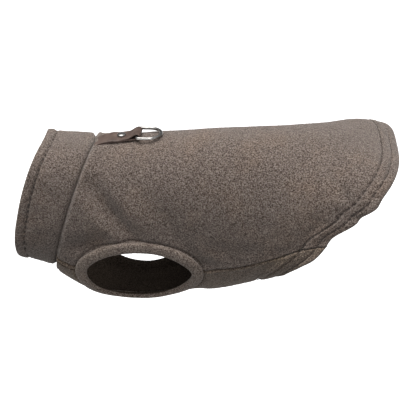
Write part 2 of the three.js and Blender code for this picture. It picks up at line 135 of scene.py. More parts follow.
def degree_length(at, degrees):
    return np.linalg.norm(cloth_points(at, degrees + 0.5) - cloth_points(at, degrees - 0.5), axis=-1)


def side_seam(at):
    return table_at(SIDE_SEAM, at)[..., 1]


def arm_angle(at, upper):
    """Angle of the armhole's middle line over or under its two corners."""
    at = np.asarray(at, float)
    end = np.where(at < ARM_CREST, ARM_FRONT, ARM_REAR)
    t = np.clip((at - ARM_CREST) / (end - ARM_CREST), 0, 1)
    if upper:
        share = np.where(at < ARM_CREST, (1 - t ** 2.8) ** 0.5, 1 - t ** 1.8)
    else:
        share = (1 - t ** 2.2) ** 0.62
    along = (at - ARM_FRONT) / (ARM_REAR - ARM_FRONT)
    middle = ARM_FRONT_ANGLE + (ARM_REAR_ANGLE - ARM_FRONT_ANGLE) * along
    return middle + share * (-ARM_RISE if upper else ARM_FALL)


def panel_edge(at, is_back):
    at = np.asarray(at, float)
    inside = (at > ARM_FRONT) & (at < ARM_REAR)
    return np.where(inside, arm_angle(at, is_back), side_seam(at))


# Folds: soft troughs (depth over 0) and ridges (under 0), each a line of (station, angle).
# width is the distance in millimetres from the line at which the fold has faded to a third.
LEFT_FOLDS = [
    {"line": [(-44, -54), (-35, -63), (-26, -72), (-17, -81), (-9, -88)], "depth": 9.4, "width": 9},
    {"line": [(-47, -70), (-38, -76), (-29, -82), (-20, -88)], "depth": -1.8, "width": 7},
    {"line": [(-46, -108), (-40, -102), (-33, -96), (-27, -91)], "depth": 5.4, "width": 9},
    {"line": [(-10, -54), (10, -70), (22, -82), (31, -90)], "depth": 3.6, "width": 13},
    {"line": [(30, -92), (40, -102), (52, -110), (62, -112)], "depth": 3.8, "width": 7},
    {"line": [(60, -96), (85, -102), (112, -103)], "depth": 1.8, "width": 8},
    {"line": [(145, -54), (154, -65), (159, -74), (160, -84)], "depth": 2.2, "width": 5.5},
    {"line": [(143, -84), (149, -92), (150, -101)], "depth": 1.9, "width": 5},
    {"line": [(-88, -60), (-74, -66), (-62, -70)], "depth": 0.9, "width": 7},
    {"line": [(-84, -100), (-72, -94), (-62, -96)], "depth": -0.8, "width": 7},
]
RIGHT_FOLDS = [
    {"line": [(-46, 55), (-32, 66), (-20, 79), (-9, 88)], "depth": 3.8, "width": 8},
    {"line": [(-48, 86), (-36, 83), (-24, 84)], "depth": -1.2, "width": 8},
    {"line": [(-47, 110), (-38, 101), (-29, 93)], "depth": 4.2, "width": 8},
    {"line": [(0, 58), (16, 72), (34, 90)], "depth": 3.2, "width": 13},
    {"line": [(34, 96), (46, 106), (60, 111)], "depth": 3.4, "width": 7},
    {"line": [(74, 98), (96, 103), (120, 101)], "depth": 1.1, "width": 8},
    {"line": [(148, 58), (157, 70), (160, 83)], "depth": 1.4, "width": 6},
    {"line": [(-86, 72), (-74, 78), (-63, 78)], "depth": 0.9, "width": 7},
]
BELLY_FOLDS = [
    {"line": [(-30, 176), (-6, 181), (20, 178)], "depth": 1.4, "width": 9},
    {"line": [(84, 168), (100, 176), (112, 188)], "depth": 1.2, "width": 8},
    {"line": [(134, -136), (141, -121), (150, -112)], "depth": -4.0, "width": 4.5},
    {"line": [(136, 134), (143, 121), (151, 112)], "depth": -2.8, "width": 4},
    {"line": [(122, -142), (132, -128), (140, -118)], "depth": 1.2, "width": 5},
    {"line": [(-86, 160), (-74, 170), (-64, 166)], "depth": 0.8, "width": 7},
]


def smooth_line(line, count=24):
    """A line of (station, angle) with more points, on a curve through its own."""
    stations = np.linspace(0, len(line) - 1, count)
    rows = [(i, *point) for i, point in enumerate(line)]
    return table_at(rows, stations)[:, 1:]


def fold_height(points, folds):
    """How far the folds push points of the cloth outward, in millimetres."""
    height = np.zeros(points.shape[:-1])
    for fold in folds:
        line = smooth_line(fold["line"])
        centres = cloth_points(line[:, 0], line[:, 1])
        along = np.linspace(0, 1, len(line))
        strength = np.sin(np.pi * (0.12 + 0.76 * along)) ** 0.8
        effect = np.zeros(points.shape[:-1])
        for centre, share in zip(centres, strength):
            distance = np.linalg.norm(points - centre, axis=-1)
            effect = np.maximum(effect, share * np.exp(-(distance / fold["width"]) ** 2))
        height -= fold["depth"] * effect
    return height


def noise_at(points, size, shift=(0, 0, 0)):
    moved = Vector(shift)
    return np.array([noise.noise(Vector(point) / size + moved) for point in points])


def pebbles(points, amount):
    """The nap's pebbly relief, in millimetres, at points in millimetres."""
    flat = points.reshape(-1, 3)
    fine = noise_at(flat, 1.7)
    broad = noise_at(flat, 4.1, (9.1, 4.3, 2.7))
    soft = noise_at(flat, 23, (3.3, 8.8, 1.2))
    return (amount * (0.3 * fine + 0.16 * broad) + 0.55 * soft).reshape(points.shape[:-1])


def squarish(share, power):
    """A sine or cosine raised to a power under 1, its sign kept, for squarer rounds."""
    return np.sign(share) * np.abs(share) ** power


def groove(distance, depth, width):
    return -depth * np.exp(-(distance / width) ** 2)


def signed_angle(degrees):
    return (degrees + 180) % 360 - 180


def puckers(at, degrees, pitch):
    """Share of a stitched groove's depth round the body: deeper at each stitch."""
    along = signed_angle(degrees) * degree_length(at, degrees)
    return 0.72 + 0.38 * np.cos(2 * math.pi * along / pitch)


# Meshes

def add_object(name, vertices, faces, material):
    """A smooth mesh of one material, from vertices in millimetres."""
    mesh = bpy.data.meshes.new(name)
    mesh.from_pydata((np.asarray(vertices) * MM).tolist(), [], faces)
    mesh.validate()
    mesh.update()
    mesh.shade_smooth()
    piece = bpy.data.objects.new(name, mesh)
    bpy.context.scene.collection.objects.link(piece)
    mesh.materials.append(material)
    return piece


# The inner face of a cloth has a row and a column for each third one of its outer face.
COARSE = 3


def shell(name, at, degrees, height, wall, material, closed):
    """A cloth shell from a fine outer face and an inner one with every third row and column.
    Rows run along the body and columns round it, and both counts are multiples of three."""
    outer = raised_points(at, degrees, height)
    rows, columns = at.shape
    inner_columns = np.arange(0, columns, COARSE)
    inner_rows = np.arange(0, rows, COARSE)
    pick = np.ix_(inner_rows, inner_columns)
    inner = raised_points(at[pick], degrees[pick], (height - wall)[pick])
    vertices = np.concatenate([outer.reshape(-1, 3), inner.reshape(-1, 3)])
    offset = rows * columns
    across = len(inner_columns)
    faces = []

    def out(i, j):
        return i * columns + j % columns

    def under(i, j):
        return offset + i * across + j % across

    steps = columns if closed else columns - 1
    for i in range(rows - 1):
        for j in range(steps):
            faces.append((out(i, j), out(i + 1, j), out(i + 1, j + 1), out(i, j + 1)))
    inner_steps = across if closed else across - 1
    first_inner = len(faces)
    for i in range(len(inner_rows) - 1):
        for j in range(inner_steps):
            faces.append((under(i, j), under(i, j + 1), under(i + 1, j + 1), under(i + 1, j)))
    last_inner_face = len(faces)
    last_row = rows - 1
    last_inner = len(inner_rows) - 1
    for j in range(inner_steps):
        front = [out(0, COARSE * j + k) for k in range(COARSE + 1)]
        faces.append((*front, under(0, j + 1), under(0, j)))
        rear = [out(last_row, COARSE * j + k) for k in range(COARSE, -1, -1)]
        faces.append((*rear, under(last_inner, j), under(last_inner, j + 1)))
    if not closed:
        last_column = columns - 1
        last_across = across - 1
        for i in range(last_inner):
            near = [out(COARSE * i + k, 0) for k in range(COARSE, -1, -1)]
            faces.append((*near, under(i, 0), under(i + 1, 0)))
            far = [out(COARSE * i + k, last_column) for k in range(COARSE + 1)]
            faces.append((*far, under(i + 1, last_across), under(i, last_across)))
    piece = add_object(name, vertices, faces, material)
    # The inner faces take the inside material, darkened as painted shade for the unlit inside.
    piece.data.materials.append(inside_painted_shade)
    for face in piece.data.polygons[first_inner:last_inner_face]:
        face.material_index = 1
    return piece


def tube(name, rings, material):
    """A closed loop of rings of points."""
    count = len(rings)
    corners = len(rings[0])
    vertices = np.asarray(rings).reshape(-1, 3)
    faces = []
    for n in range(count):
        here = n * corners
        following = (n + 1) % count * corners
        for c in range(corners):
            d = (c + 1) % corners
            faces.append((here + c, following + c, following + d, here + d))
    return add_object(name, vertices, faces, material)


def rod_faces(faces, first, count, corners):
    """Adds the sides and two ends of a rod: count rings of corners, from vertex number first."""
    for n in range(count - 1):
        here = first + n * corners
        following = here + corners
        for c in range(corners):
            d = (c + 1) % corners
            faces.append((here + c, here + d, following + d, following + c))
    faces.append(tuple(first + c for c in range(corners - 1, -1, -1)))
    faces.append(tuple(first + (count - 1) * corners + c for c in range(corners)))


# Materials

def new_material(name):
    material = bpy.data.materials.new(name)
    material.use_nodes = True
    nodes = material.node_tree.nodes
    shader = nodes["Principled BSDF"]
    return material, nodes, material.node_tree.links, shader


def add_noise(nodes, links, coordinates, scale, detail=2.0, roughness=0.5):
    texture = nodes.new("ShaderNodeTexNoise")
    texture.inputs["Scale"].default_value = scale
    texture.inputs["Detail"].default_value = detail
    texture.inputs["Roughness"].default_value = roughness
    links.new(coordinates.outputs["Object"], texture.inputs["Vector"])
    return texture


def add_ramp(nodes, links, source, stops):
    ramp = nodes.new("ShaderNodeValToRGB")
    elements = ramp.color_ramp.elements
    while len(elements) < len(stops):
        elements.new(0.5)
    for element, (position, colour) in zip(elements, stops):
        element.position = position
        element.color = (*colour, 1)
    links.new(source, ramp.inputs["Fac"])
    return ramp


def add_mix(nodes, links, factor, first, second, blend="MIX"):
    mix = nodes.new("ShaderNodeMix")
    mix.data_type = "RGBA"
    mix.blend_type = blend
    if isinstance(factor, float):
        mix.inputs["Factor"].default_value = factor
    else:
        links.new(factor, mix.inputs["Factor"])
    links.new(first, mix.inputs[6])
    links.new(second, mix.inputs[7])
    return mix.outputs[2]


NAP_SCALE = 860


def fleece(name, tone, warm):
    """Napped fleece: pebbly speckled nap, coloured paler on the pebbles' raised tops as painted highlight
    and darker between them as painted shade, patchy tone and a soft sheen.
    """
    material, nodes, links, shader = new_material(name)
    coordinates = nodes.new("ShaderNodeTexCoord")
    nap = add_noise(nodes, links, coordinates, NAP_SCALE, 1.6, 0.6)
    # The ramp's dark end lies in the nap's hollows and its pale end on its raised tops, from the same noise
    # as the bump: painted shade and painted highlight over the fleece's own speckle.
    dark_speckle_and_hollow_shade = tuple(share * c for share, c in zip((0.24, 0.2, 0.17), tone))
    pale = tuple(share * c for share, c in zip((2.05, 2.25, 2.32), tone))
    speckle_and_pebble_shade = add_ramp(nodes, links, nap.outputs["Fac"], [(0.34, dark_speckle_and_hollow_shade), (0.5, tone), (0.68, pale)])
    patches = add_noise(nodes, links, coordinates, 26, 3.0, 0.6)
    patch_tone = add_ramp(nodes, links, patches.outputs["Fac"],
                          [(0.3, (0.93, 0.93, 0.95)), (0.5, (1, 1, 1)), (0.7, warm)])
    colour = add_mix(nodes, links, 1.0, speckle_and_pebble_shade.outputs["Color"], patch_tone.outputs["Color"], "MULTIPLY")
    links.new(colour, shader.inputs["Base Color"])
    shader.inputs["Roughness"].default_value = 1.0
    shader.inputs["Specular IOR Level"].default_value = 0.1
    shader.inputs["Sheen Weight"].default_value = 0.6
    shader.inputs["Sheen Roughness"].default_value = 0.6
    shader.inputs["Sheen Tint"].default_value = (0.62, 0.58, 0.55, 1)
    pebble = nodes.new("ShaderNodeTexVoronoi")
    pebble.feature = "SMOOTH_F1"
    pebble.inputs["Scale"].default_value = 520
    links.new(coordinates.outputs["Object"], pebble.inputs["Vector"])
    pebble_bump = nodes.new("ShaderNodeBump")
    pebble_bump.invert = True
    pebble_bump.inputs["Strength"].default_value = 0.6
    pebble_bump.inputs["Distance"].default_value = 0.0006
    links.new(pebble.outputs["Distance"], pebble_bump.inputs["Height"])
    nap_bump = nodes.new("ShaderNodeBump")
    nap_bump.inputs["Strength"].default_value = 0.8
    nap_bump.inputs["Distance"].default_value = 0.0009
    links.new(nap.outputs["Fac"], nap_bump.inputs["Height"])
    links.new(pebble_bump.outputs["Normal"], nap_bump.inputs["Normal"])
    links.new(nap_bump.outputs["Normal"], shader.inputs["Normal"])
    return material


def painted_shade_backing():
    """The cloth's inner face: flat and hardly napped, and coloured much darker than the fleece as painted
    shade for the garment's unlit inside.
    """
    material, nodes, links, shader = new_material("fleece inside painted shade")
    coordinates = nodes.new("ShaderNodeTexCoord")
    nap = add_noise(nodes, links, coordinates, NAP_SCALE, 1.6, 0.6)
    # Near-black browns: painted shade, far darker than the fleece itself.
    colour = add_ramp(nodes, links, nap.outputs["Fac"],
                      [(0.34, (0.03, 0.023, 0.018)), (0.66, (0.11, 0.085, 0.066))])
    links.new(colour.outputs["Color"], shader.inputs["Base Color"])
    shader.inputs["Roughness"].default_value = 1.0
    shader.inputs["Specular IOR Level"].default_value = 0.05
    bump = nodes.new("ShaderNodeBump")
    bump.inputs["Strength"].default_value = 0.5
    bump.inputs["Distance"].default_value = 0.0006
    links.new(nap.outputs["Fac"], bump.inputs["Height"])
    links.new(bump.outputs["Normal"], shader.inputs["Normal"])
    return material


def leather():
    material, nodes, links, shader = new_material("strap leather")
    coordinates = nodes.new("ShaderNodeTexCoord")
    tone = add_noise(nodes, links, coordinates, 130, 4.0, 0.6)
    browns = [(0.3, (0.06, 0.038, 0.03)), (0.52, (0.115, 0.077, 0.062)), (0.75, (0.165, 0.118, 0.098))]
    colour = add_ramp(nodes, links, tone.outputs["Fac"], browns)
    links.new(colour.outputs["Color"], shader.inputs["Base Color"])
    gloss = nodes.new("ShaderNodeMapRange")
    gloss.inputs["To Min"].default_value = 0.46
    gloss.inputs["To Max"].default_value = 0.66
    links.new(tone.outputs["Fac"], gloss.inputs["Value"])
    links.new(gloss.outputs["Result"], shader.inputs["Roughness"])
    grain = nodes.new("ShaderNodeTexVoronoi")
    grain.inputs["Scale"].default_value = 900
    links.new(coordinates.outputs["Object"], grain.inputs["Vector"])
    bump = nodes.new("ShaderNodeBump")
    bump.inputs["Strength"].default_value = 0.35
    bump.inputs["Distance"].default_value = 0.0003
    links.new(grain.outputs["Distance"], bump.inputs["Height"])
    links.new(bump.outputs["Normal"], shader.inputs["Normal"])
    return material


def nickel():
    material, nodes, links, shader = new_material("nickel plate")
    coordinates = nodes.new("ShaderNodeTexCoord")
    wear = add_noise(nodes, links, coordinates, 260, 3.0, 0.6)
    colour = add_ramp(nodes, links, wear.outputs["Fac"],
                      [(0.3, (0.3, 0.29, 0.28)), (0.6, (0.46, 0.45, 0.435))])
    links.new(colour.outputs["Color"], shader.inputs["Base Color"])
    shader.inputs["Metallic"].default_value = 1.0
    gloss = nodes.new("ShaderNodeMapRange")
    gloss.inputs["To Min"].default_value = 0.1
    gloss.inputs["To Max"].default_value = 0.26
    links.new(wear.outputs["Fac"], gloss.inputs["Value"])
    links.new(gloss.outputs["Result"], shader.inputs["Roughness"])
    bump = nodes.new("ShaderNodeBump")
    bump.inputs["Strength"].default_value = 0.08
    bump.inputs["Distance"].default_value = 0.0002
    links.new(wear.outputs["Fac"], bump.inputs["Height"])
    links.new(bump.outputs["Normal"], shader.inputs["Normal"])
    return material


def thread():
    material, nodes, links, shader = new_material("sewing thread")
    coordinates = nodes.new("ShaderNodeTexCoord")
    twist = nodes.new("ShaderNodeTexWave")
    twist.inputs["Scale"].default_value = 900
    twist.inputs["Distortion"].default_value = 1.5
    links.new(coordinates.outputs["Object"], twist.inputs["Vector"])
    colour = add_ramp(nodes, links, twist.outputs["Fac"],
                      [(0.2, (0.035, 0.028, 0.024)), (0.8, (0.085, 0.07, 0.06))])
    links.new(colour.outputs["Color"], shader.inputs["Base Color"])
    shader.inputs["Roughness"].default_value = 0.7
    return material


FLEECE_TONE = (0.146, 0.112, 0.095)
BINDING_TONE = (0.205, 0.158, 0.130)
BELLY_TONE = (0.164, 0.121, 0.092)
body_fleece = fleece("body fleece", FLEECE_TONE, (1.1, 1.04, 0.98))
belly_fleece = fleece("belly fleece", BELLY_TONE, (1.08, 1.05, 0.94))
binding_fleece = fleece("binding fleece", BINDING_TONE, (1.08, 1.03, 0.98))
inside_painted_shade = painted_shade_backing()
strap_leather = leather()
ring_nickel = nickel()
seam_thread = thread()


# Body cloth

def arm_line(side, steps):
    """Stations and angles along the armhole, evenly spaced, with eased corners."""
    samples = 480
    turn = 2 * math.pi * np.arange(samples) / samples
    at = (ARM_FRONT + ARM_REAR) / 2 + np.cos(turn) * (ARM_REAR - ARM_FRONT) / 2
    degrees = np.where(turn < math.pi, arm_angle(at, True), arm_angle(at, False))
    closed_at = np.append(at, at[0])
    closed_degrees = np.append(degrees, degrees[0])
    points = cloth_points(closed_at, closed_degrees)
    run = np.concatenate([[0], np.cumsum(np.linalg.norm(np.diff(points, axis=0), axis=1))])
    places = np.linspace(0, run[-1], steps, endpoint=False)
    at = np.interp(places, run, closed_at)
    degrees = np.interp(places, run, closed_degrees)
    passes = round(7 * (steps / 52) ** 2)
    for _ in range(passes):
        at = (np.roll(at, 1) + 2 * at + np.roll(at, -1)) / 4
        degrees = (np.roll(degrees, 1) + 2 * degrees + np.roll(degrees, -1)) / 4
    return at, side * degrees


# Hems, in millimetres: the folded cloth is raised, thicker and rounded at its edge.
REAR_HEM_WIDTH = 16
HEM_RAISE = 0.9
HEM_WALL = 4.0
HEM_CURL = 0.2
HEM_CURL_REACH = 20
EDGE_REACH = 2.2
EDGE_DROP = 1.5
EDGE_THINNING = 2.6
# Stitched grooves of the rear hem: distance from the edge, depth and width
HEM_GROOVES = ((16.2, 2.2, 1.2), (7.6, 1.9, 1.1))
# Soft waves of the rear edge: angle and width in degrees, height over the cloth, and length past the edge.
HEM_WAVES = [
    {"angle": -69, "width": 8, "height": 1.2, "length": 2.8},
    {"angle": -83, "width": 4, "height": -1.4, "length": -0.6},
    {"angle": -91, "width": 4, "height": 1.2, "length": 0.8},
    {"angle": -102, "width": 6, "height": -1.6, "length": -4.6},
    {"angle": -118, "width": 6, "height": 1.4, "length": 2.4},
    {"angle": 64, "width": 7, "height": 1.0, "length": 1.8},
    {"angle": 80, "width": 5, "height": -1.2, "length": -1.4},
    {"angle": 96, "width": 5, "height": 1.4, "length": 1.2},
    {"angle": 111, "width": 6, "height": -1.0, "length": -2.0},
]
HEM_WAVE_REACH = 45
HEM_WAVE_HEIGHT_REACH = 22
HEM_PUCKER_PITCH = 4.4
COLLAR_STITCH_PITCH = 5.2
CHEST_STITCHES_FROM_SEAM = 5
# The strap's sewn end, in degrees
STRAP_END_ANGLE = -3
STRAP_END_REACH = 12
# Station of the rear hem's middle, where distances from the edge are measured
HEM_MIDDLE = REAR_EDGE - 8


def hem_waves(degrees, size):
    total = np.zeros_like(degrees)
    for wave in HEM_WAVES:
        away = (signed_angle(degrees) - wave["angle"]) / wave["width"]
        total = total + wave[size] * np.exp(-away ** 2)
    return total


def waved(at, degrees, from_edge):
    """Stations drawn in or let out along the rear edge by its waves."""
    share = np.clip(1 - from_edge / HEM_WAVE_REACH, 0, 1)
    length = station_length(np.full_like(at, HEM_MIDDLE), degrees)
    return at + share * hem_waves(degrees, "length") / length


def edge_rounding(from_edge):
    """1 at a folded edge, falling to 0 as a quarter circle does."""
    rounding = np.clip(from_edge / EDGE_REACH, 0, 1)
    return 1 - np.sqrt(1 - (1 - rounding) ** 2)


def hem_height(at, degrees):
    """Height and wall of the folded, twice-stitched rear hem, and the distance from its edge."""
    from_edge = (REAR_EDGE - at) * station_length(np.full_like(at, HEM_MIDDLE), degrees)
    inside = 1 / (1 + np.exp((from_edge - REAR_HEM_WIDTH) / 0.5))
    edge = edge_rounding(from_edge)
    over_back_share = np.clip(np.cos(np.radians(degrees)), 0, 1)
    curl = -HEM_CURL * over_back_share * np.clip(1 - from_edge / HEM_CURL_REACH, 0, 1) ** 2
    height = curl + HEM_RAISE * inside - EDGE_DROP * edge
    wave_share = np.clip(1 - from_edge / HEM_WAVE_HEIGHT_REACH, 0, 1) ** 1.5
    height = height + hem_waves(degrees, "height") * wave_share
    for place, depth, width in HEM_GROOVES:
        height = height + groove(from_edge - place, depth, width) * puckers(at, degrees, HEM_PUCKER_PITCH)
    wall = FLEECE_WALL + (HEM_WALL - FLEECE_WALL) * inside - EDGE_THINNING * edge
    return height, wall, from_edge


def graded(total, fine_length, fine, coarse):
    """Distances from 0 to total, close together over the first stretch."""
    start = np.arange(0, fine_length, fine)
    rest = np.linspace(fine_length, total, max(round((total - fine_length) / coarse), 2) + 1)
    return np.concatenate([start, rest])


def trimmed(values):
    """Drops a value or two from the middle, so that the steps are a multiple of COARSE."""
    while (len(values) - 1) % COARSE:
        values = np.delete(values, len(values) // 2)
    return values


SEAM_ROWS_REACH = 7
SEAM_STEP = 0.6
HEM_ROWS_REACH = 20
HEM_STEP = 0.5


def body_grid(is_back, half_width, coarse, middle_rows):
    """Stations and angles of a panel's fine grid, closer at its seams and over its hem."""
    inset = 1 - graded(half_width, SEAM_ROWS_REACH, SEAM_STEP, coarse) / half_width
    side = trimmed(np.concatenate([inset[:-1], -inset[::-1]]))[::-1]
    seam_distance = np.arange(0, SEAM_ROWS_REACH, SEAM_STEP)
    hem_distance = np.arange(HEM_ROWS_REACH, -0.01, -HEM_STEP)
    middle = np.linspace(0, 1, middle_rows)[:-1]

    def angles(at):
        edge = panel_edge(at, is_back)
        return side * edge if is_back else 180 + side * (180 - edge)

    near_seam = angles(np.full_like(side, COLLAR_SEAM + 3))
    near_hem = angles(np.full_like(side, REAR_EDGE - 12))
    seam_length = station_length(np.full_like(side, COLLAR_SEAM + 3), near_seam)
    hem_length = station_length(np.full_like(side, HEM_MIDDLE), near_hem)
    start = COLLAR_SEAM + SEAM_ROWS_REACH / seam_length
    end = REAR_EDGE - HEM_ROWS_REACH / hem_length
    at = np.concatenate([
        COLLAR_SEAM + seam_distance[:, None] / seam_length,
        start + (end - start) * middle[:, None],
        REAR_EDGE - hem_distance[:, None] / hem_length,
    ])
    while (len(at) - 1) % COARSE:
        at = np.delete(at, len(at) // 2, 0)
    return at, angles(at), panel_edge(at, is_back)


def distance_to(points, line):
    """Distance of each point to the nearest point of a line."""
    nearest = np.full(points.shape[:-1], 1e9)
    for spot in line:
        nearest = np.minimum(nearest, np.linalg.norm(points - spot, axis=-1))
    return nearest


def strap_end_share(degrees):
    """How near an angle is to the strap's sewn end, where the seam is pulled deeper."""
    return np.exp(-((signed_angle(degrees) - STRAP_END_ANGLE) / STRAP_END_REACH) ** 2)


def body_cloth(name, is_back, half_width, coarse, middle_rows, material):
    at, degrees, edge = body_grid(is_back, half_width, coarse, middle_rows)
    folds = LEFT_FOLDS + RIGHT_FOLDS if is_back else BELLY_FOLDS
    points = cloth_points(at, degrees)
    height, wall, from_edge = hem_height(at, degrees)
    hem_fade = np.clip(from_edge / REAR_HEM_WIDTH - 0.4, 0, 1)
    height = height + fold_height(points, folds) * hem_fade + pebbles(points, 1.0)

    # The cloth dips into the seams round the panel.
    from_side = np.abs(edge - np.abs(signed_angle(degrees))) * degree_length(at, degrees)
    height = height + groove(from_side, 1.9, 1.0) + groove(from_side - 3, -0.35, 2)
    from_collar = (at - COLLAR_SEAM) * station_length(at, degrees)
    height = height + groove(from_collar, 2.6, 1.7) + groove(from_collar - 4.4, -0.8, 2.4)
    for side in (-1, 1):
        line_at, line_degrees = arm_line(side, 120)
        from_arm = distance_to(points, cloth_points(line_at, line_degrees))
        height = height + groove(from_arm - BINDING_WIDTH / 2 - 0.4, 2.1, 1.6)
    if is_back:
        height = height + strap_end_share(degrees) * groove(from_collar, 1.4, 1.6)
    else:
        # A line of stitches lies along the front of the chest seam.
        in_chest = 1 / (1 + np.exp((at - ARM_FRONT) / 1.5))
        stitched = groove(from_side - CHEST_STITCHES_FROM_SEAM, 2.6, 1.2)
        height = height + in_chest * (stitched + groove(from_side - 2.6, -1.0, 1.3))
    return shell(name, waved(at, degrees, from_edge), degrees, height, wall, material, False)


back = body_cloth("back_cloth", True, 130, 1.3, 190, body_fleece)
belly = body_cloth("belly_cloth", False, 64, 1.3, 150, belly_fleece)
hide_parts("back_panel", "rear_hem")
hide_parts("belly_panel", "belly_hem")


# Collar

COLLAR_HEM_WIDTH = 9
COLLAR_COLUMNS = 300
# Fine rows lie over the collar's hem and along its seam, and plain ones between them.
COLLAR_HEM_REACH = 12
COLLAR_SEAM_REACH = 6
COLLAR_STEP = 0.55
COLLAR_MIDDLE_ROWS = 24
# Station where distances from the collar's front edge are measured
COLLAR_MEASURED = COLLAR_FRONT + 4


def collar_cloth():
    degrees = np.linspace(0, 360, COLLAR_COLUMNS, endpoint=False)
    length = station_length(np.full_like(degrees, COLLAR_MEASURED), degrees)
    reach = (COLLAR_SEAM - COLLAR_FRONT) * length
    fine = np.arange(0, COLLAR_HEM_REACH, COLLAR_STEP)
    seam = np.arange(COLLAR_SEAM_REACH, -0.01, -COLLAR_STEP)
    middle = np.linspace(0, 1, COLLAR_MIDDLE_ROWS)[:-1]
    plain = reach - COLLAR_HEM_REACH - COLLAR_SEAM_REACH
    at = np.concatenate([
        COLLAR_FRONT + fine[:, None] / length,
        COLLAR_FRONT + (COLLAR_HEM_REACH + plain * middle[:, None]) / length,
        COLLAR_SEAM - seam[:, None] / length,
    ])
    while (len(at) - 1) % COARSE:
        at = np.delete(at, len(at) // 2, 0)
    degrees = np.repeat(degrees[None, :], len(at), 0)
    points = cloth_points(at, degrees)
    from_front = (at - COLLAR_FRONT) * length
    from_seam = (COLLAR_SEAM - at) * length
    edge = edge_rounding(from_front)
    inside = 1 / (1 + np.exp((from_front - COLLAR_HEM_WIDTH) / 0.4))
    stitched = groove(from_front - COLLAR_HEM_WIDTH, 2.6, 1.5) * puckers(at, degrees, COLLAR_STITCH_PITCH)
    height = HEM_RAISE * inside - EDGE_DROP * edge + stitched
    height = height + 0.9 * np.clip(from_seam / 7, 0, 1) ** 0.7 + groove(from_seam, 2.4, 1.7)
    height = height + strap_end_share(degrees) * groove(from_seam, 1.2, 1.6)
    height = height + fold_height(points, LEFT_FOLDS[-2:] + RIGHT_FOLDS[-1:] + BELLY_FOLDS[-1:])
    height = height + pebbles(points, 1.0)
    wall = COLLAR_WALL + (HEM_WALL - COLLAR_WALL) * inside - EDGE_THINNING * edge
    return shell("collar_cloth", at, degrees, height, wall, body_fleece, True)


collar = collar_cloth()
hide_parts("collar", "collar_hem")


# Armhole bindings

BINDING_STEPS = 216
BINDING_CORNERS = 26
BINDING_SWELL = 0.6
BINDING_PAINTED_SHADE_SIDE = -0.35


def binding(name, side):
    steps = BINDING_STEPS
    corners = BINDING_CORNERS
    at, degrees = arm_line(side, steps)
    points = cloth_points(at, degrees)
    tangent = np.roll(points, -1, 0) - np.roll(points, 1, 0)
    tangent /= np.linalg.norm(tangent, axis=1)[:, None]
    normal = cloth_normals(at, degrees)
    across = np.cross(tangent, normal)
    across /= np.linalg.norm(across, axis=1)[:, None]
    centre = points - normal * FLEECE_WALL / 2
    turn = 2 * math.pi * (np.arange(corners) + 0.5) / corners
    wide = squarish(np.cos(turn), 0.75) * BINDING_WIDTH / 2
    thick = squarish(np.sin(turn), 0.7) * (BINDING_THICKNESS / 2 + BINDING_SWELL)
    ring = centre[:, None] + across[:, None] * wide[None, :, None] + normal[:, None] * thick[None, :, None]
    outward = ring - centre[:, None]
    outward /= np.linalg.norm(outward, axis=2)[..., None]
    ring = ring + outward * (pebbles(ring, 0.9) * 0.8)[..., None]
    piece = tube(name, ring, binding_fleece)
    # The binding's inner side takes the same darkened inside material: painted shade.
    piece.data.materials.append(inside_painted_shade)
    for n, face in enumerate(piece.data.polygons):
        if math.sin(2 * math.pi * (n % corners + 1) / corners) < BINDING_PAINTED_SHADE_SIDE:
            face.material_index = 1
    return piece


left_binding = binding("binding_cloth_left", -1)
right_binding = binding("binding_cloth_right", 1)
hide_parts("armhole_binding_left")
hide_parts("armhole_binding_right")


# Leash strap: one strip of leather, folded round the ring's bar, its two leaves riveted together.

SEAM_GAP = 0.3
LEATHER_WALL = 1.4
STRAP_WIDTH = 17.5
STRAP_FRONT = -56
STRAP_BAR = -13
STRAP_SIDE_AT_SEAM = -3.6
STRAP_FLAT = 9
STRAP_BLEND = 8
STRAP_LEAF_ROWS = 30
STRAP_LOOP_ROWS = 26
WIRE_RADIUS = 1.5
RIVET_BEHIND_BAR = -16
LEAVES_HEIGHT = SEAM_GAP + 2 * LEATHER_WALL
BAR_HEIGHT = SEAM_GAP + LEATHER_WALL + SEAM_GAP + WIRE_RADIUS
LOOP_RADIUS = WIRE_RADIUS + SEAM_GAP + LEATHER_WALL / 2
bar_station_length = float(station_length(np.float64(STRAP_BAR), np.float64(0)))
STRAP_LENGTH = (STRAP_BAR - STRAP_FRONT) * bar_station_length


def over_back(at, across, height):
    at, across, height = np.broadcast_arrays(np.asarray(at, float), across, height)
    degrees = across / degree_length(at, np.zeros_like(at))
    return raised_points(at, degrees, height)


def over_strap(behind, across, height):
    """Points of the strap: behind the bar (negative, towards the head), across, and over the cloth."""
    behind, across, height = np.broadcast_arrays(
        np.asarray(behind, float), np.asarray(across, float), np.asarray(height, float))
    side = STRAP_SIDE_AT_SEAM * np.maximum(-behind, 0) / STRAP_LENGTH
    curved = over_back(STRAP_BAR + behind / bar_station_length, side + across, height)
    normal = cloth_normals(np.float64(STRAP_BAR), np.float64(0))
    rearward = np.array([normal[2], 0, -normal[0]])
    straight = over_back(np.full_like(behind, STRAP_BAR), np.zeros_like(behind), height)
    straight = straight + behind[..., None] * rearward
    straight[..., 1] += side + across
    t = np.clip((behind + STRAP_FLAT + STRAP_BLEND) / STRAP_BLEND, 0, 1)
    flat = (t * t * (3 - 2 * t))[..., None]
    return curved * (1 - flat) + straight * flat


